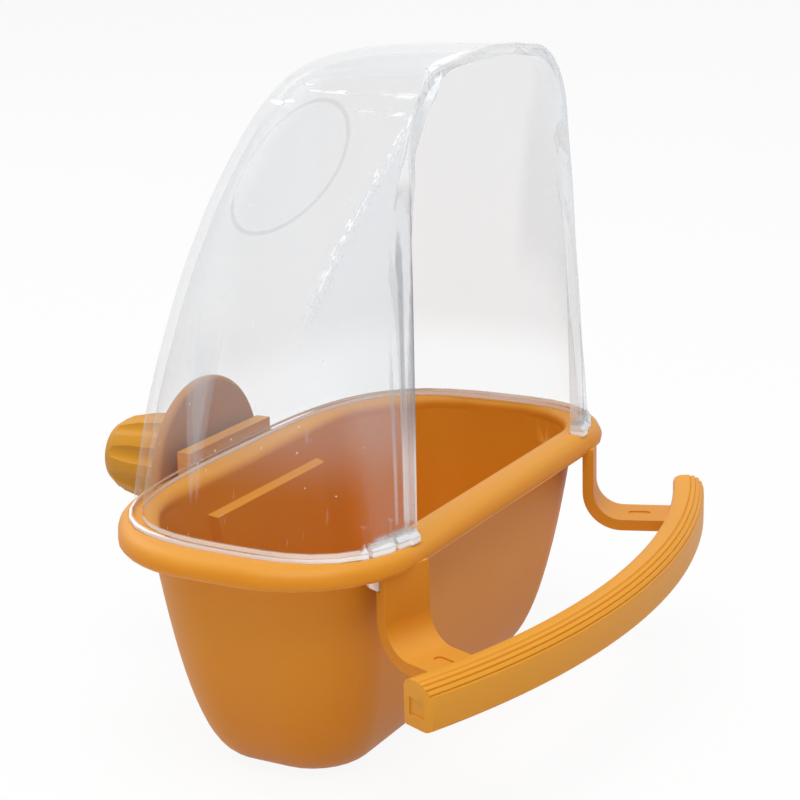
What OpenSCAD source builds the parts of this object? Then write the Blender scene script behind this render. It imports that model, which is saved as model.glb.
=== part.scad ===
// Hooded cage feeder cup: moulded cup with perch arms, clear hood held by two tabs,
// push-on perch bar and a screw clamp for the cage wires. Millimetres.
// Origin: on the ground under the middle of the cup. +X right, +Y to the cage, +Z up.

/* [Cup] */
// half of the rim width
rim_hw = 62; // [58:0.5:66]
// half of the rim depth
rim_hd = 32.7; // [31:0.1:35]
// height of the rim top above the ground
rim_z = 49.2; // [47:0.1:53]
// height of the outer edge of the rim flange
rim_t = 4.2; // [3.6:0.1:5]
// wall thickness of the cup
cup_wall = 2; // [1.6:0.1:2.4]
// half width of the flat underside
foot_hw = 33.8; // [30:0.2:36]
// half depth of the flat underside
foot_hd = 10.2; // [9:0.2:12]

/* [Hood] */
// height of the hood above the rim
hood_h = 83.6; // [78:0.2:88]
// distance from the front of the rim to the front edge of the hood
hood_in = 2.2; // [1.5:0.1:3]
// distance from the side of the rim to the hood beside its front opening
hood_open = 26.1; // [23:0.1:27]
// distance from the side of the rim to the widest part of the hood
hood_side = 5.7; // [5:0.1:7.5]
// lean of each side of the front opening, rim to corner
hood_lean = 3.4; // [2:0.1:5]
// set-back of the front edge at the top of the hood
hood_set = 1.5; // [0:0.1:2]
// wall thickness of the hood
hood_wall = 1.8; // [1.5:0.1:2.2]
// corner radius of the front opening, outer face
hood_r = 14.6; // [13:0.2:18]

/* [Perch] */
// radius of the front face of the perch
perch_r = 166.8; // [160:0.2:175]
// front to back size of the perch
perch_w = 6.6; // [5.8:0.1:7.2]
// height of the perch
perch_h = 8.6; // [7.8:0.1:9.4]
// half length of the perch
perch_hl = 64; // [60:0.5:68]
// distance from the rim front to the front face of the perch
perch_out = 27.8; // [25:0.2:31]
// drop from the rim top to the underside of the perch
perch_drop = 23.2; // [21:0.2:26]
// distance from the side of the rim to the middle of an arm
arm_in = 20.4; // [18:0.1:22]
// width of an arm
arm_w = 10.6; // [9:0.2:12]
// thickness of an arm
arm_t = 2.3; // [1.8:0.1:2.6]

/* [Clamp] */
// radius of the clamp plate
plate_r = 18.8; // [16:0.2:21]
// thickness of the clamp plate
plate_t = 2.4; // [2:0.1:3]
// open gap between the back bracket and the clamp plate
clamp_gap = 2.2; // [1:0.1:4]
// crest radius of the moulded screw stud
stud_r = 3.6; // [3.2:0.1:4]
// pitch of the screw thread
pitch = 2.5; // [2:0.1:3]
// largest radius of the knob
knob_r = 10.8; // [9.6:0.1:12]
// length of the knob
knob_l = 22; // [20:0.2:24]
// number of grip flutes round the knob
flutes = 10; // [8:1:12]

/* [Hidden] */
// shared clearances
run_fit = 0.06;
slot_fit = 0.3;
seat_d = 0.4;
$fn = 64;

// plan of the rim: corner points, counter-clockwise from the front right
side_y = 16;
back_hw = 0.632 * rim_hw;
rim_v = [[rim_hw, -rim_hd], [rim_hw, side_y], [back_hw, rim_hd],
    [-back_hw, rim_hd], [-rim_hw, side_y], [-rim_hw, -rim_hd]];
rim_c = [23.6, 27, 28, 28, 27, 23.6];
arc_n = 7;
// wall line of the cup below the rim flange
wall_in = 6;
land_in = wall_in + cup_wall;

// plan of the flat underside
foot_v = [[foot_hw, -foot_hd], [foot_hw, 0.7 * foot_hd], [0.7 * foot_hw, foot_hd],
    [-0.7 * foot_hw, foot_hd], [-foot_hw, 0.7 * foot_hd], [-foot_hw, -foot_hd]];
foot_c = [7.5, 4.5, 6, 6, 4.5, 7.5];
cup_steps = 18;
// thicker wall inside, behind the bracket
boss_hw = 21;
boss_in = 1.8;
boss_z = 7.6;

// front plane of the hood and its rear end at the rim
hood_y = hood_in - rim_hd;
hood_fw = rim_hw - hood_open;
hood_hw = rim_hw - hood_side;
hood_back = rim_hd - 1.5;
side_n = 12;
back_n = 30;
cols = 26;
lip_w = 2.4;
lip_up = 0.5;
foot_up = 0.7;
foot_h = 1.2;
tab_u = 0.25;
tab_w = 5.2;
tab_l = 7;
tab_r = 1.6;
slit_w = 0.9;

// perch and arms
perch_z = rim_z - perch_drop;
perch_c = perch_r - rim_hd - perch_out;
arm_x = rim_hw - arm_in;
arm_y = 0.9 - rim_hd;
arm_a = 20;
arm_bend = 6;
tongue_z = perch_z + 0.43 * perch_h;
tongue_in = 3.4;
// length of an arm from its strip to the back face of the perch
arm_l = let (q = [arm_x, arm_y - perch_c], d = [sin(arm_a), -cos(arm_a)])
    sqrt(pow(q * d, 2) - q * q + pow(perch_r - perch_w, 2)) - q * d;
mark_d = 0.3;
groove_d = 0.32;

// clamp
brk_hw = 15;
brk_h = 22.2;
brk_y = rim_hd + 2.6;
axis_z = rim_z - 4.9;
plate_y = brk_y + clamp_gap;
knob_y = plate_y + plate_t;
stud_l = clamp_gap + plate_t + knob_l - 4.6;

function unit(v) = v / norm(v);
function turn(a) = (a + 540) % 360 - 180;
// points of one rounded corner, moved inward by s
function corner(a, b, c, r, s) =
    let (u = unit(a - b), w = unit(c - b), h = acos(u * w) / 2,
        m = b + unit(u + w) * r / sin(h), p = b + u * r / tan(h) - m, q = b + w * r / tan(h) - m,
        f = atan2(p.y, p.x), g = turn(atan2(q.y, q.x) - f))
    [for (i = [0:arc_n]) m + (r - s) * [cos(f + g * i / arc_n), sin(f + g * i / arc_n)]];
function plan(v, r, s) =
    [for (i = [0:5]) each corner(v[(i + 5) % 6], v[i], v[(i + 1) % 6], r[i], s)];
function at(p, z) = [for (q = p) [q.x, q.y, z]];

// closed skin over a stack of rings, ends capped
module skin(rings) {
    n = len(rings[0]);
    m = len(rings);
    polyhedron(
        points = [for (r = rings) each r],
        faces = concat(
            [[for (i = [0:n - 1]) i]],
            [for (j = [0:m - 2], i = [0:n - 1]) each
                [[j * n + i, (j + 1) * n + (i + 1) % n, j * n + (i + 1) % n],
                [j * n + i, (j + 1) * n + i, (j + 1) * n + (i + 1) % n]]],
            [[for (i = [n - 1:-1:0]) (m - 1) * n + i]]));
}

// ring-shaped skin: a closed section carried round the rim plan
module band(section) {
    k = len(section);
    n = len(plan(rim_v, rim_c, 0));
    pts = [for (q = section) each at(plan(rim_v, rim_c, q[0]), q[1])];
    polyhedron(points = pts, faces = [for (j = [0:k - 1], i = [0:n - 1])
        let (a = j * n + i, b = j * n + (i + 1) % n, c = ((j + 1) % k) * n + (i + 1) % n,
            d = ((j + 1) % k) * n + i) each [[a, b, c], [a, c, d]]]);
}

// cup body between the foot and the wall line; g is the inward offset
function cup_k(t) = 1 - pow(max(1 - t, 0), 0.342);
function cup_ring(t, g) =
    let (k = cup_k(t), a = plan(rim_v, rim_c, wall_in + g), b = plan(foot_v, foot_c, g))
    [for (i = [0:len(a) - 1]) (1 - k) * a[i] + k * b[i]];
function cup_t(j) = 1 - pow(1 - j / cup_steps, 2.2);
function cup_stack(g, z0, z1) =
    [for (j = [cup_steps:-1:0]) at(cup_ring(cup_t(j), g), z1 - (z1 - z0) * cup_t(j))];

// cavity ring: the back stands p further in behind the bracket
function cavity_ring(t, p) =
    let (r = cup_ring(t, cup_wall), k = cup_k(t), n = len(r) / 2, y = r[n][1],
        w = (1 - k) * boss_hw + k * 0.6 * boss_hw)
    concat([for (i = [0:n - 1]) r[i]], [[w + 0.8, y], [w, y - p], [-w, y - p], [-w - 0.8, y]],
        [for (i = [n:2 * n - 1]) r[i]]);
module cavity() {
    z1 = rim_z - 3;
    z0 = cup_wall;
    ledge = (boss_z - 3) / (z1 - z0);
    steps = concat([for (j = [cup_steps:-1:0]) if (cup_t(j) > ledge + 0.005) [cup_t(j), boss_in]],
        [[ledge, 0], [0, 0]]);
    skin([for (q = steps) at(cavity_ring(q[0], q[1]), z1 - (z1 - z0) * q[0])]);
}

module arm() {
    z0 = tongue_z - arm_t / 2;
    zb = z0 + arm_t + arm_bend;
    reach = arm_l + tongue_in;
    translate([arm_x, arm_y, 0])
        rotate([0, 0, arm_a])
            rotate([90, 0, -90])
                translate([0, 0, -arm_w / 2])
                    linear_extrude(arm_w)
                        union() {
                            translate([-arm_t, zb])
                                square([arm_t, rim_z - rim_t + 1 - zb]);
                            translate([arm_bend, z0])
                                square([reach - arm_bend, arm_t]);
                            intersection() {
                                translate([arm_bend, zb])
                                    difference() {
                                        circle(r = arm_bend + arm_t);
                                        circle(r = arm_bend);
                                    }
                                translate([-arm_t, z0])
                                    square([arm_bend + arm_t, arm_bend + arm_t]);
                            }
                        }
}

// long oval ejector marks on the tops of the tongues
module tongue_marks() {
    for (s = [0, 1])
        mirror([s, 0, 0])
            translate([arm_x, arm_y, tongue_z + arm_t / 2 - mark_d])
                rotate([0, 0, arm_a])
                    translate([0, -arm_bend - 3.4, 0])
                        linear_extrude(2)
                            union() {
                                square([2, 2.6], center = true);
                                for (e = [-1.3, 1.3])
                                    translate([0, e])
                                        circle(r = 1);
                            }
}

module bracket() {
    z1 = rim_z + 2.2;
    translate([-brk_hw, 0, 0])
        rotate([90, 0, 90])
            linear_extrude(2 * brk_hw)
                polygon([[rim_hd - 1.2, z1], [brk_y, z1], [brk_y, z1 - brk_h],
                    [brk_y - 3, z1 - brk_h], [rim_hd - 9, z1 - 0.64 * brk_h], [rim_hd - 9, rim_z - 4],
                    [rim_hd - 1.2, rim_z - 1]]);
}

// moulded screw stud: plain core with ridged crests
module stud() {
    translate([0, brk_y - 1, axis_z])
        rotate([-90, 0, 0])
            rotate_extrude()
                polygon(concat([[0, 0], [stud_r - 0.4, 0]],
                    [for (i = [0:floor(stud_l / pitch) - 1]) each [[stud_r - 0.4, 1.2 + i * pitch],
                        [stud_r, 1.8 + i * pitch], [stud_r, 2.4 + i * pitch],
                        [stud_r - 0.4, 3 + i * pitch]]],
                    [[stud_r - 0.4, stud_l + 0.4], [stud_r - 1.2, stud_l + 1], [0, stud_l + 1]]));
}

// middle of the hood wall where a snap tab sits, and its turn in plan
function tab_dir() = let (d = (1 - tab_u) * (side_c(0) - side_e(0)) + tab_u * (side_k(0) - side_c(0)))
    atan2(d.y, d.x);
function tab_mid() = let (a = tab_dir(), q = side_at(0, tab_u))
    [q.x - hood_wall / 2 * sin(a), q.y + hood_wall / 2 * cos(a)];
module tab_place() {
    for (s = [0, 1])
        mirror([s, 0, 0])
            translate([tab_mid().x, hood_y + tab_mid().y, rim_z])
                rotate([0, 0, tab_dir()])
                    children();
}

// shallow U-shaped seat for the hood edge in the top of the rim
module hood_seat() {
    r = [ring_full(0), ring_full(0.01)];
    v = ring_normals(r, 0);
    n = len(v);
    e = [for (i = [0:n - 1]) i == 0 ? unit(r[0][0] - r[0][1]) : i == n - 1 ? unit(r[0][i] - r[0][i - 1]) : [0, 0, 0]];
    out = [for (i = [0:n - 1]) r[0][i] + slot_fit * e[i] + (lip_at(i, n) + foot_up + slot_fit) * v[i]];
    in = [for (i = [0:n - 1]) r[0][i] + slot_fit * e[i] - (hood_wall + slot_fit) * v[i]];
    translate([0, hood_y, rim_z - seat_d])
        linear_extrude(3)
            polygon(concat([for (q = out) [q.x, q.y]], [for (i = [n - 1:-1:0]) [in[i].x, in[i].y]]));
}

module bowl() {
    color([0.93, 0.56, 0.13])
        difference() {
            union() {
                skin(cup_stack(0, 0, rim_z - 3));
                band([[0.6, rim_z - rim_t], [land_in - 0.5, rim_z - rim_t], [land_in, rim_z - 3],
                    [land_in, rim_z - 2], [land_in - 0.25, rim_z - 1.25], [land_in - 0.9, rim_z - 0.6],
                    [land_in - 2, rim_z - 0.15], [0.5 * land_in, rim_z], [2.3, rim_z - 0.2],
                    [1.2, rim_z - 0.75], [0.45, rim_z - 1.6], [0.05, rim_z - 2.7], [0.05, rim_z - 3.5]]);
                bracket();
                arm();
                mirror([1, 0, 0])
                    arm();
            }
            cavity();
            tongue_marks();
            skin([at(plan(rim_v, rim_c, land_in), rim_z - 3.01),
                at(plan(rim_v, rim_c, land_in), rim_z - 2.9)]);
            tab_place()
                translate([-tab_w / 2 - slot_fit, -hood_wall / 2 - slot_fit, -rim_t - 3])
                    cube([tab_w + 2 * slot_fit, hood_wall + 2 * slot_fit, rim_t + 4]);
            hood_seat();
        }
    color([0.93, 0.56, 0.13])
        stud();
}

// hood surface, in coordinates from its front plane and lower edge: front edge, ridge and back line
arch_w = hood_fw - hood_lean;
crown = 1.4;
corner_a = atan(1.7 * hood_lean / (hood_h - hood_r));
corner_m = [arch_w - hood_r * cos(corner_a), hood_h - crown - hood_r];
function arch(t) = let (h0 = corner_m[1] + hood_r * sin(corner_a))
    t < 0.6 ? let (s = t / 0.6) [hood_fw - hood_lean * s * (0.3 + 0.7 * s), h0 * s]
    : t < 0.86 ? let (a = corner_a + (90 - corner_a) * (t - 0.6) / 0.26) corner_m + hood_r * [cos(a), sin(a)]
    : let (u = (1 - t) / 0.14) [corner_m[0] * u, hood_h - crown * u * u];
function ridge_x(t) = 20 + (hood_hw - 20) * (1 - pow(min(arch(t)[1] / (0.985 * hood_h), 1), 1.54));
function set_back(t) = hood_set * pow(arch(t)[1] / hood_h, 2);
function side_e(t) = [arch(t)[0], set_back(t)];
function side_k(t) = let (f = max(t - 0.8, 0) / 0.2)
    [arch(t)[0] * f + ridge_x(t) * (1 - f), max(21.3 * (1 - pow(arch(t)[1] / (0.985 * hood_h), 2.07)), 2)];
function side_c(t) = let (b = 1 - 0.8 * t, e = side_e(t), k = side_k(t))
    (1 - b) * (e + k) / 2 + b * [k.x, 0.6 + set_back(t)];
function side_at(t, u) =
    (1 - u) * (1 - u) * side_e(t) + 2 * u * (1 - u) * side_c(t) + u * u * side_k(t);
function spine(t) = [(hood_back - hood_y) * pow(cos(90 * t), 0.35), hood_h * pow(sin(90 * t), 1.205)];
function ring_half(t) =
    let (z = arch(t)[1], k = side_k(t), s = spine(t), n = 3.54 - 1.29 * t)
    concat(
        [for (i = [0:side_n - 1]) let (q = side_at(t, i / side_n)) [q.x, q.y, z]],
        [for (i = [0:back_n]) let (a = 90 * i / back_n, q = pow(sin(a), 2 / n))
            [k.x * pow(cos(a), 2 / n), k.y + (s[0] - k.y) * q, z + (s[1] - z) * q]]);

// half ring walked at even steps behind the raised lip, then mirrored to a whole ring
function run_len(p) = [for (i = 0, s = 0; i < len(p); i = i + 1,
    s = i < len(p) ? s + norm(p[i] - p[i - 1]) : s) s];
function walk(p, s, d) = let (k = [for (i = [1:len(p) - 1]) if (s[i] >= d) i][0])
    p[k - 1] + (p[k] - p[k - 1]) * (d - s[k - 1]) / (s[k] - s[k - 1]);
function ring_full(t) =
    let (p = ring_half(t), s = run_len(p), l = s[len(s) - 1] * 0.99999, w = min(lip_w, 0.3 * l),
        h = concat([p[0], walk(p, s, w)],
            [for (i = [0:cols - 3]) walk(p, s, w + 0.5 + (l - w - 0.5) * i / (cols - 3))]))
    concat([for (i = [0:cols - 2]) h[i]], [[0, h[cols - 1].y, h[cols - 1].z]],
        [for (i = [cols - 2:-1:0]) [-h[i].x, h[i].y, h[i].z]]);

// outward normals of a stack of rings; flat along the lower edge, and in the front plane at the corners
function ring_normals(s, j) =
    let (n = len(s[j]), m = len(s))
    [for (i = [0:n - 1])
        let (v = cross(s[j][min(i + 1, n - 1)] - s[j][max(i - 1, 0)],
                s[min(j + 1, m - 1)][i] - s[max(j - 1, 0)][i]),
            f = min(i, n - 1 - i), q = f > 3 || v.y < 0 ? 1 : [0, 0.4, 0.4, 0.7][f])
        unit([v.x, q * v.y, j == 0 ? 0 : v.z])];

// open-fronted shell: outer and inner skins joined round their edge
module shell(outer, inner) {
    n = len(outer[0]);
    m = len(outer);
    h = (n - 1) / 2;
    t = (m - 1) * n;
    skin_f = [for (j = [0:m - 2], i = [0:n - 2]) each
        [[j * n + i, (j + 1) * n + i + 1, j * n + i + 1], [j * n + i, (j + 1) * n + i, (j + 1) * n + i + 1]]];
    cap_f = concat([for (i = [0:h - 2]) each
        [[t + i, t + n - 1 - i, t + n - 2 - i], [t + i, t + n - 2 - i, t + i + 1]]],
        [[t + h - 1, t + h + 1, t + h]]);
    rim = concat([for (i = [0:n - 1]) i], [for (j = [1:m - 1]) j * n + n - 1], [for (j = [m - 1:-1:1]) j * n]);
    polyhedron(
        points = concat([for (r = outer) each r], [for (r = inner) each r]),
        faces = concat(skin_f, cap_f,
            [for (f = concat(skin_f, cap_f)) [f[0] + n * m, f[2] + n * m, f[1] + n * m]],
            [for (k = [0:len(rim) - 1]) let (a = rim[k], b = rim[(k + 1) % len(rim)]) each
                [[a, b, b + n * m], [a, b + n * m, a + n * m]]]));
}

// raised lip beside the opening, for point i of n
function lip_at(i, n) = i < 2 || i > n - 3 ? lip_up : 0;

module hood() {
    step = 0.6 / (hood_h - crown - hood_r);
    base = [for (t = concat([0, foot_h * step, 1.6 * foot_h * step], [for (j = [1:14]) 0.6 * j / 14],
        [for (j = [1:10]) 0.6 + 0.26 * j / 10], [for (j = [1:4]) 0.86 + 0.125 * j / 4])) ring_full(t)];
    top = len(base) - 1;
    normals = [for (j = [0:top]) ring_normals(base, j)];
    n = len(base[0]);
    outer = [for (j = [0:top]) [for (i = [0:n - 1])
        base[j][i] + (lip_at(i, n) + (j < 2 ? foot_up : 0)) * normals[j][i]]];
    inner = [for (j = [0:top]) [for (i = [0:n - 1]) base[j][i] - hood_wall * normals[j][i]]];
    color([0.9, 0.93, 0.95, 0.4]) {
        difference() {
            translate([0, hood_y, rim_z - seat_d])
                shell(outer, inner);
            tab_place()
                for (s = [-1, 1])
                    translate([s * (tab_w + slit_w) / 2 - slit_w / 2, -3, -1])
                        cube([slit_w, 6, 6]);
        }
        tab_place()
            translate([0, hood_wall / 2, 0])
                rotate([90, 0, 0])
                    linear_extrude(hood_wall)
                        polygon([[-tab_w / 2, 2], each [for (e = [[-1, 180], [1, 270]]) each
                            [for (a = [0:15:90]) [e[0] * (tab_w / 2 - tab_r), tab_r - tab_l]
                                + tab_r * [cos(e[1] + a), sin(e[1] + a)]]], [tab_w / 2, 2]]);
    }
}

// section of the perch, back face at 0: rounded front shoulder with four lengthwise grooves
function shoulder(a, d) = [perch_w - 3.4, perch_h - 2.9] + [(3.4 - d) * cos(a), (2.9 - d) * sin(a)];
module perch_section() {
    polygon(concat([[0.4, 0], [perch_w - 0.9, 0], [perch_w - 0.25, 0.25], [perch_w, 0.9], shoulder(0, 0)],
        [for (a = [14, 34, 54, 74]) each
            [shoulder(a, 0), shoulder(a + 5, groove_d), shoulder(a + 10, 0)]],
        [[perch_w - 3.6, perch_h], [1.4, perch_h - 0.1], [0.4, perch_h - 0.6], [0, perch_h - 1.6], [0, 0.4]]));
}

module perch() {
    a = asin(perch_hl / perch_r);
    end_r = 1.6;
    color([0.94, 0.62, 0.2])
        difference() {
            translate([0, perch_c, 0])
                rotate([0, 0, -90 - a])
                    rotate_extrude(angle = 2 * a, $fn = 360)
                        translate([perch_r - perch_w, perch_z])
                            perch_section();
            for (s = [0, 1])
                mirror([s, 0, 0]) {
                    translate([arm_x, arm_y, tongue_z - arm_t / 2 - run_fit])
                        rotate([0, 0, arm_a])
                            translate([-arm_w / 2 - run_fit, -arm_l - tongue_in - 0.3, 0])
                                cube([arm_w + 2 * run_fit, tongue_in + 3, arm_t + 2 * run_fit]);
                    translate([0, perch_c, 0])
                        rotate([0, 0, a - 90]) {
                            translate([perch_r - end_r, -end_r, perch_z - 1])
                                linear_extrude(perch_h + 2)
                                    difference() {
                                        square([2 * end_r, 2 * end_r]);
                                        circle(r = end_r);
                                    }
                            translate([perch_r - 0.5 * perch_w - 2, -mark_d, tongue_z - 1.6])
                                cube([3.8, 2, 3.2]);
                        }
                }
        }
}

module clamp_plate() {
    color([0.85, 0.48, 0.12])
        translate([0, plate_y, axis_z])
            rotate([-90, 0, 0])
                rotate_extrude($fn = 96)
                    polygon([[stud_r + run_fit, 0], [plate_r - 0.6, 0], [plate_r, 0.6],
                        [plate_r, plate_t - 0.6], [plate_r - 0.6, plate_t], [stud_r + run_fit, plate_t]]);
}

module clamp_knob() {
    bore = knob_l - 2.2;
    color([0.8, 0.5, 0.1])
        translate([0, knob_y, axis_z])
            rotate([-90, 0, 0])
                difference() {
                    rotate_extrude($fn = 96)
                        polygon([[0, 0], [knob_r - 0.5, 0], [knob_r, 0.6], [knob_r, 2.4],
                            [0.95 * knob_r, 5], [0.85 * knob_r, 0.58 * knob_l],
                            [0.75 * knob_r, 0.8 * knob_l], [0.6 * knob_r, 0.92 * knob_l],
                            [0.35 * knob_r, 0.98 * knob_l], [0, knob_l]]);
                    translate([0, 0, -1])
                        cylinder(r = stud_r + run_fit, h = bore + 1);
                    for (i = [0:flutes - 1])
                        rotate([0, 0, (i + 0.5) * 360 / flutes])
                            translate([knob_r + 1.1, 0, 2.8])
                                rotate([0, -6.5, 0])
                                    cylinder(r = 2.5, h = knob_l);
                }
}

bowl();
hood();
perch();
clamp_plate();
clamp_knob();
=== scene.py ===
from math import cos, radians, sin

import bmesh
import bpy
from mathutils import Matrix, Vector


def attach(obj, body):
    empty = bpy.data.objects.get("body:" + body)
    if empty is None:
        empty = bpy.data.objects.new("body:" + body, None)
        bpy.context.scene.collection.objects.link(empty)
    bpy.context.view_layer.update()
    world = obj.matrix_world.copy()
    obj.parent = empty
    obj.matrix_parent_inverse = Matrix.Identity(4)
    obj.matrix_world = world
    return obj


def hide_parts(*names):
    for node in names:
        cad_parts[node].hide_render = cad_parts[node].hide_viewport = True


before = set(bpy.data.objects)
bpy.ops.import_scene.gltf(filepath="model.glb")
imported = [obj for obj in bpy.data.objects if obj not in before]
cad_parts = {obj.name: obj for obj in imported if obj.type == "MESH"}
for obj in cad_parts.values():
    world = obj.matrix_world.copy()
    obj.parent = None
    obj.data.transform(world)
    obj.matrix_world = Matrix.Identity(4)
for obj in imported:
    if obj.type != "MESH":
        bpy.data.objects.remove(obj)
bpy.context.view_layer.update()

# Studio: the camera stands in front of the left end of the cup, a little above the rim, and the
# object rests on a plain pale floor under soft daylight panels. None of it belongs to the object.
scene = bpy.context.scene
scene.view_settings.view_transform = "Standard"
turn, tilt, roll = 0.50715, 0.26814, -0.0258
camera_place = Vector((-0.3416, -0.1980, 0.1707))
ahead = Vector((cos(tilt) * cos(turn), cos(tilt) * sin(turn), -sin(tilt)))
level = Vector((sin(turn), -cos(turn), 0))
right = cos(roll) * level + sin(roll) * level.cross(ahead)
lens = bpy.data.cameras.new("studio_camera")
lens.sensor_width = 36
lens.lens = 92.7
lens.clip_start, lens.clip_end = 0.01, 20
camera = bpy.data.objects.new("studio_camera", lens)
camera.matrix_world = Matrix.LocRotScale(
    camera_place, Matrix((right, right.cross(ahead), -ahead)).transposed(), None)
scene.collection.objects.link(camera)
scene.camera = camera


class Wire:
    """A shader socket that takes Python arithmetic."""

    def __init__(self, finish, socket):
        self.finish, self.socket = finish, socket

    def maths(self, operation, a, b):
        return self.finish.node("ShaderNodeMath", {"operation": operation}, {0: a, 1: b})

    def __add__(self, other):
        return self.maths("ADD", self, other)

    def __sub__(self, other):
        return self.maths("SUBTRACT", self, other)

    def __rsub__(self, other):
        return self.maths("SUBTRACT", other, self)

    def __mul__(self, other):
        return self.maths("MULTIPLY", self, other)

    def __truediv__(self, other):
        return self.maths("DIVIDE", self, other)

    def __pow__(self, other):
        return self.maths("POWER", self, other)

    def __abs__(self):
        return self.maths("ABSOLUTE", self, 0.0)

    __radd__, __rmul__ = __add__, __mul__


class Finish:
    """A procedural material, or the world: its nodes come from node(), the last from close()."""

    def __init__(self, owner):
        owner.use_nodes = True
        self.owner, self.tree = owner, owner.node_tree
        self.tree.nodes.clear()

    def node(self, kind, settings=None, sockets=None, out=0):
        made = self.tree.nodes.new(kind)
        for name, value in (settings or {}).items():
            setattr(made, name, value)
        for name, value in (sockets or {}).items():
            if isinstance(value, Wire):
                self.tree.links.new(value.socket, made.inputs[name])
            elif isinstance(value, tuple) and len(value) == 3 and made.inputs[name].type == "RGBA":
                made.inputs[name].default_value = (*value, 1)
            else:
                made.inputs[name].default_value = value
        return Wire(self, made.outputs[out])

    def place(self):
        return self.node("ShaderNodeTexCoord", out="Object")

    def dots(self, size, radius):
        cell = self.node("ShaderNodeTexVoronoi", {}, {"Vector": self.place(), "Scale": 1 / size})
        return self.ramp(cell, radius / size, 0.6 * radius / size)

    def noise(self, size, detail, stretch=(1, 1, 1)):
        spot = self.node("ShaderNodeMapping", {}, {"Vector": self.place(), "Scale": stretch})
        return self.node("ShaderNodeTexNoise", {}, {
            "Vector": spot, "Scale": 1 / size, "Detail": detail, "Roughness": 0.5})

    def blend(self, factor, a, b):
        return self.node("ShaderNodeMix", {"data_type": "RGBA"}, {0: factor, 6: a, 7: b}, out=2)

    def ramp(self, factor, low, high):
        return self.node("ShaderNodeMapRange", {"interpolation_type": "SMOOTHSTEP"}, {
            "Value": factor, "From Min": low, "From Max": high})

    def most(self, a, b):
        return self.node("ShaderNodeMath", {"operation": "MAXIMUM"}, {0: a, 1: b})

    def axis(self, vector, out):
        return self.node("ShaderNodeSeparateXYZ", {}, {0: vector}, out=out)

    def seen(self):
        rays = self.node("ShaderNodeLightPath").socket.node.outputs
        return self.most(Wire(self, rays["Is Camera Ray"]), self.most(
            Wire(self, rays["Is Glossy Ray"]), Wire(self, rays["Is Transmission Ray"])))

    def close(self, shader, target="ShaderNodeOutputMaterial"):
        end = self.tree.nodes.new(target)
        self.tree.links.new(shader.socket, end.inputs[0])
        return self.owner


white = (1.0, 1.0, 1.0)
world = bpy.data.worlds.new("white_room")
scene.world = world
air = Finish(world)
air.close(air.node("ShaderNodeBackground", {}, {
    "Color": white, "Strength": 0.40 + 0.60 * air.seen()}), "ShaderNodeOutputWorld")

ground = bmesh.new()
bmesh.ops.create_grid(ground, x_segments=1, y_segments=1, size=4)
floor_mesh = bpy.data.meshes.new("studio_floor")
ground.to_mesh(floor_mesh)
ground.free()
floor = bpy.data.objects.new("studio_floor", floor_mesh)
scene.collection.objects.link(floor)
paper = Finish(bpy.data.materials.new("white_paper"))
matt = paper.node("ShaderNodeBsdfDiffuse", {}, {"Color": (0.86, 0.86, 0.86)})
lit = paper.node("ShaderNodeEmission", {}, {"Color": white, "Strength": 1.0})
floor_mesh.materials.append(paper.close(paper.node("ShaderNodeMixShader", {}, {
    0: 0.92 * paper.seen(), 1: matt, 2: lit})))

for name, spot, aim, size, power in (
        ("window_panel", (-0.30, -0.15, 0.95), (0, 0, 0.05), 0.7, 7.4),
        ("front_panel", (-0.1, -0.9, 0.5), (0, 0, 0.05), 0.6, 0.25),
        ("back_panel", (0.3, 0.9, 0.7), (0, 0, 0.08), 0.5, 2.5)):
    panel = bpy.data.lights.new(name, "AREA")
    panel.energy, panel.size = power, size
    lamp = bpy.data.objects.new(name, panel)
    lamp.location = spot
    lamp.rotation_euler = (Vector(spot) - Vector(aim)).to_track_quat("Z", "Y").to_euler()
    scene.collection.objects.link(lamp)

# Bowl: cup, rim, perch arms, bracket and stud injection-moulded together in orange plastic. The
# skin is satin from the mould; painted light makes it palest on the faces that look up, and painted
# shade makes it deepest low on the wall.
crease = radians(32)


def moulding(node, body, finish, rounding):
    """Welded, smooth-shaded copy of a CAD node that is shown in its place, edges broken.

    A flat face whose triangles fold over each other is made one face again.
    """
    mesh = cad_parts[node].data.copy()
    skin = bmesh.new()
    skin.from_mesh(mesh)
    bmesh.ops.remove_doubles(skin, verts=skin.verts, dist=2e-6)
    flat = {face for edge in skin.edges if edge.calc_face_angle(0) > 3.13 for face in edge.link_faces}
    beyond = flat
    while beyond:
        beyond = {other for face in beyond for edge in face.edges for other in edge.link_faces
            if abs(other.normal.dot(face.normal)) > 0.99999} - flat
        flat |= beyond
    bmesh.ops.dissolve_faces(skin, faces=[face for face in skin.faces if face in flat])
    for face in skin.faces:
        face.smooth = True
        face.material_index = 0
    for edge in skin.edges:
        edge.smooth = edge.calc_face_angle(0) < crease
    skin.to_mesh(mesh)
    skin.free()
    mesh.materials.clear()
    mesh.materials.append(finish)
    piece = bpy.data.objects.new(node + "_moulding", mesh)
    scene.collection.objects.link(piece)
    soft = piece.modifiers.new("soft_edges", "BEVEL")
    soft.width, soft.segments, soft.angle_limit = rounding, 2, crease
    piece.modifiers.new("even_shading", "WEIGHTED_NORMAL").keep_sharp = True
    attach(piece, body)
    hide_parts(node)
    return piece


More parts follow.
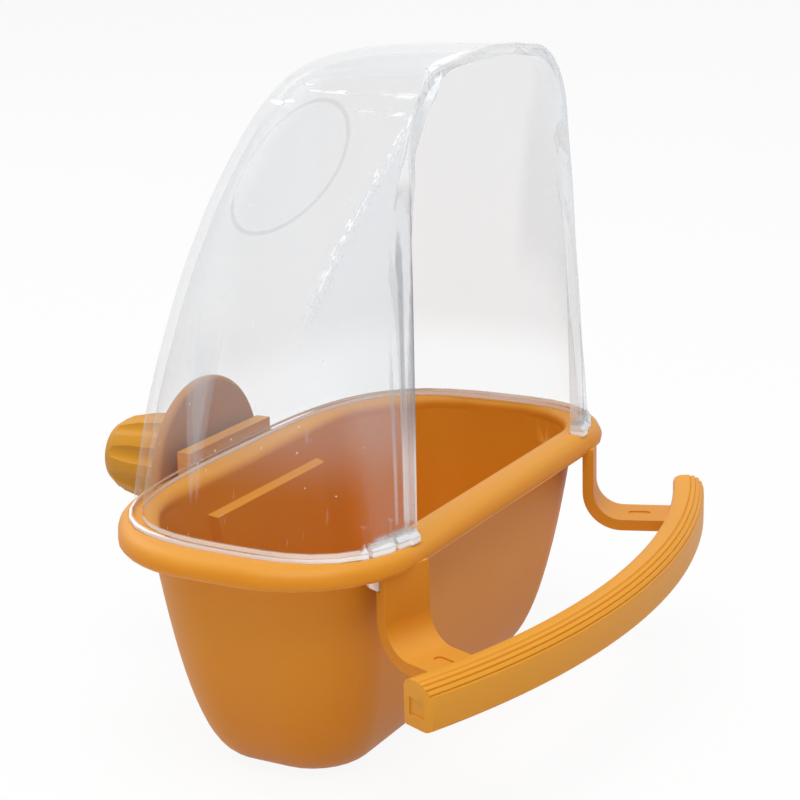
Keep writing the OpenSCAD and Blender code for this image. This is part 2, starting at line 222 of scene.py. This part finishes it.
def plastic(name, lit_top, side, shaded_low, gloss, low, high):
    """Satin moulded plastic with painted light: a highlight colour painted where it faces up, and below
    that painted shade, darker low down and the side colour above, between two heights.
    """
    skin = Finish(bpy.data.materials.new(name))
    cloud = skin.noise(0.03, 3)
    # Painted shade: darker low down, between the two heights.
    body = skin.blend(skin.ramp(skin.axis(skin.place(), "Z"), low, high), shaded_low, side)
    # Painted highlight: faces that look up take the top colour.
    upward = skin.axis(skin.node("ShaderNodeNewGeometry", out="Normal"), "Z")
    body = skin.blend(skin.ramp(upward, 0.2, 0.9), body, lit_top)
    body = skin.blend(0.10 * cloud, body, tuple(0.8 * c for c in side))
    grain = skin.noise(0.0006, 2)
    bump = skin.node("ShaderNodeBump", {}, {"Height": grain, "Strength": 0.05, "Distance": 0.0002})
    return skin.close(skin.node("ShaderNodeBsdfPrincipled", {}, {
        "Base Color": body, "Roughness": gloss + 0.10 * cloud, "Normal": bump, "IOR": 1.46,
        "Specular IOR Level": 0.25}))


# The rim tone is the painted highlight on faces that look up; the low wall tone is painted shade.
lit_rim_tone, wall_tone, shaded_low_wall_tone = (0.74, 0.32, 0.038), (0.70, 0.25, 0.012), (0.66, 0.225, 0.008)
bowl = moulding("bowl", "cup",
    plastic("cup_plastic", lit_rim_tone, wall_tone, shaded_low_wall_tone, 0.42, 0.010, 0.035), 0.00025)

# Hood: clear plastic shell with a raised lip round its opening, moulded in one and held in the
# rim by two tabs. Its lip, its foot and its ridge show as painted highlight and refraction lines,
# the tabs are painted pale, the flat beside the opening is a little milky, and the near side has
# an oval mark, specks and fine scratches.
clear = Finish(bpy.data.materials.new("clear_plastic"))
spot = clear.place()
x, y, z = (clear.axis(spot, out) for out in "XYZ")


def streaks(size, stretch, low, high):
    """Broken dashes: stretched noise between two levels."""
    return clear.ramp(clear.noise(size, 1, stretch), low, high)


def near(value, place, half):
    """One where value is at place, falling to nothing at half either side."""
    return clear.ramp(abs(value - place), half, 0.4 * half)


def along(centre, axis):
    """Distance from a point, measured along an axis."""
    off = clear.node("ShaderNodeVectorMath", {"operation": "SUBTRACT"}, {0: spot, 1: centre})
    return clear.node("ShaderNodeVectorMath", {"operation": "DOT_PRODUCT"}, {0: off, 1: axis}, out="Value")


# Ridge between the hood's side and the flat beside the opening: it starts ridge_set behind the
# front edge at the foot and comes forward towards the top. Painted glints, broken dashes of
# highlight, lie on it and in two rows on top.
foot_z, hood_h, front_y = 0.0488, 0.0823, -0.0305
ridge_set, ridge_bend = 0.0213, 2.07
top_rows = (0.1262, 0.1233)
rise = (z - foot_z) / hood_h
beside = y - front_y - ridge_set * (1 - clear.most(rise, 0.0) ** ridge_bend)
flank = clear.ramp(beside, 0.0015, -0.0015)
left = clear.ramp(x, 0.0, -0.01)
ridge = near(beside, 0.0, 0.0010) * clear.ramp(rise, 0.44, 0.60)
rows = clear.most(*(near(z, row, 0.0005) for row in top_rows)) * clear.ramp(beside, 0.001, 0.003)
glints = left * clear.most(
    ridge * streaks(0.0016, (1.4, 1.4, 0.5), 0.45, 0.62),
    rows * streaks(0.004, (1, 0.5, 3), 0.50, 0.58))

# Oval mark on the outer skin of the near side: reach is 1 on its outline.
oval_middle = (-0.0283, -0.0024, 0.1133)
oval_up, oval_across, oval_inward = (0.39, -0.55, 0.74), (0.47, 0.81, 0.35), (0.79, -0.21, -0.58)
oval_long, oval_short = 0.01425, 0.011
reach = ((along(oval_middle, oval_up) / oval_long) ** 2
    + (along(oval_middle, oval_across) / oval_short) ** 2) ** 0.5
outer_skin = clear.ramp(along(oval_middle, oval_inward), 0.0015, 0.0009)
outline = near(reach, 1.0, 0.045) * outer_skin
# Inside the oval the hood is a little hazier: a painted reflection.
oval_reflection = clear.ramp(reach, 1.0, 0.9) * outer_skin

# Near side: a pointed pale streak over the cup, and wear in specks and short scratches.
streak_foot, streak_y = 0.056, 0.0045
drop = clear.most(z - streak_foot, 0.0)
streak = (left * clear.ramp(abs(y - streak_y - 0.10 * drop) - 0.13 * drop, 0.0004, -0.0004)
    * clear.ramp(z, 0.090, 0.078) * clear.ramp(z, 0.055, 0.058))
specks = clear.dots(0.0035, 0.00022)
scuffs = streaks(0.004, (1.0, 6.0, 0.7), 0.72, 0.78) * clear.ramp(rise, 0.45, 0.25)
# The painted glints and the specks and scratches of wear are all drawn white.
glints_and_wear = clear.most(0.8 * glints, left * clear.most(0.7 * specks, 0.16 * scuffs))

# Lip: out_from is the distance out from the edge of the opening, which leans in, turns with the
# corner radius and has a slight crown. The edge and the lip's step get two lines of painted
# refraction, white over the cup and dark above it; the near lip's upper corner gets a painted glint.
opening_hw, lean_in, corner_r, corner_z = 0.0361, 0.0034, 0.0146, 0.1164
crown_up, crown_hw, lip_w = 0.0014, 0.018, 0.0026
lean = 1 - clear.most(1 - rise * (hood_h / (corner_z - foot_z)), 0.0)
over = clear.most(abs(x) - (opening_hw - corner_r) + lean_in * (lean * (0.3 + 0.7 * lean)), 0.0)
crown = crown_up * clear.most(1 - (x / crown_hw) ** 2, 0.0)
out_from = (over ** 2 + clear.most(z - corner_z - crown, 0.0) ** 2) ** 0.5 - corner_r
behind = y - front_y + 0.0003 - 0.0013 * rise ** 2
at_front = clear.ramp(behind, 0.0036, 0.0030) * clear.ramp(rise, 0.03, 0.05)
edge_line = at_front * near(out_from, 0.0, 0.0007)
step_line = at_front * near(out_from, lip_w, 0.0006)
lip_glint = left * at_front * clear.ramp(out_from, 0.0030, 0.0024) * clear.ramp(rise, 0.76, 0.84)
refraction_lines = clear.most(clear.most(edge_line, 0.6 * step_line), 0.55 * lip_glint) * (0.5 + 0.5 * left)
dark_refraction = left * clear.ramp(rise, 0.16, 0.30) * clear.ramp(rise, 0.80, 0.72)

# Foot: a bead on the rim with a painted white highlight line along it, and painted light on the tabs under
# it.
bead = clear.ramp(z, 0.0518, 0.0508)
foot_highlight = clear.most(clear.ramp(z, 0.0501, 0.0497) * clear.ramp(z, 0.0489, 0.0491),
    0.7 * bead * clear.ramp(behind, 0.0042, 0.0034))
tab_light = clear.ramp(z, 0.0487, 0.0484)

side_tone, flank_tone, outline_tone = (0.64, 0.69, 0.74), (0.60, 0.68, 0.76), (0.30, 0.31, 0.32)
tone = clear.blend(flank, side_tone, flank_tone)
tone = clear.blend(0.8 * outline, tone, outline_tone)
# Painted highlights, refraction lines and tab light go white, with the specks and scratches.
tone = clear.blend(clear.most(clear.most(glints_and_wear, refraction_lines), clear.most(foot_highlight, tab_light)), tone, white)
# Painted refraction: above the cup the lip lines turn dark grey.
tone = clear.blend(dark_refraction * refraction_lines, tone, (0.34, 0.34, 0.35))
edge_on = clear.node("ShaderNodeLayerWeight", {}, {"Blend": 0.35}, out="Facing")
milky = flank * clear.ramp(out_from, 0.012, 0.008)
haze = (0.004 + 0.085 * clear.ramp(rise, 0.12, 0.28) + 0.07 * milky + 0.01 * clear.noise(0.018, 3)
    + 0.02 * oval_reflection + 0.03 * (1 - left))
# Alpha: the painted highlights, refraction lines, tab light and the streak are made nearly opaque.
hood_skin = clear.close(clear.node("ShaderNodeBsdfPrincipled", {}, {
    "Base Color": tone, "Roughness": 0.12, "IOR": 1.49,
    "Alpha": haze + 0.40 * edge_on ** 3 * (1 - bead) + 0.16 * outline + 0.75 * glints_and_wear
    + 0.95 * foot_highlight + 0.45 * tab_light + 0.5 * refraction_lines + 0.16 * streak}))
hood = moulding("hood", "hood_shell", hood_skin, 0.0002)

# Perch: curved bar of the same plastic, grooved for the bird's toes. It is pushed on the two
# tongues of the bowl's arms.
# Painted light: the top tone on faces that look up; painted shade: the low tone low down.
perch_lit_top, perch_side, perch_shaded_low = (0.77, 0.34, 0.03), (0.77, 0.33, 0.028), (0.72, 0.29, 0.02)
perch = moulding("perch", "cup",
    plastic("perch_plastic", perch_lit_top, perch_side, perch_shaded_low, 0.42, 0.025, 0.036), 0.0003)

# Clamp plate: round plate moulded in browner plastic. It slides on the stud behind the cage
# wires and presses them to the bracket.
# Painted shade: the low tone darkens the plate low down.
plate_tone, plate_shaded_low = (0.50, 0.20, 0.03), (0.46, 0.17, 0.025)
plate = moulding("clamp_plate", "plate",
    plastic("plate_plastic", plate_tone, plate_tone, plate_shaded_low, 0.45, 0.03, 0.06), 0.0003)

# Clamp knob: fluted nut moulded in the same plastic. It turns on the stud and draws the plate
# to the wires.
# Painted shade: the low tone darkens the knob low down.
knob_tone, knob_shaded_low = (0.62, 0.28, 0.018), (0.56, 0.24, 0.012)
knob = moulding("clamp_knob", "knob",
    plastic("knob_plastic", knob_tone, knob_tone, knob_shaded_low, 0.45, 0.03, 0.06), 0.0003)
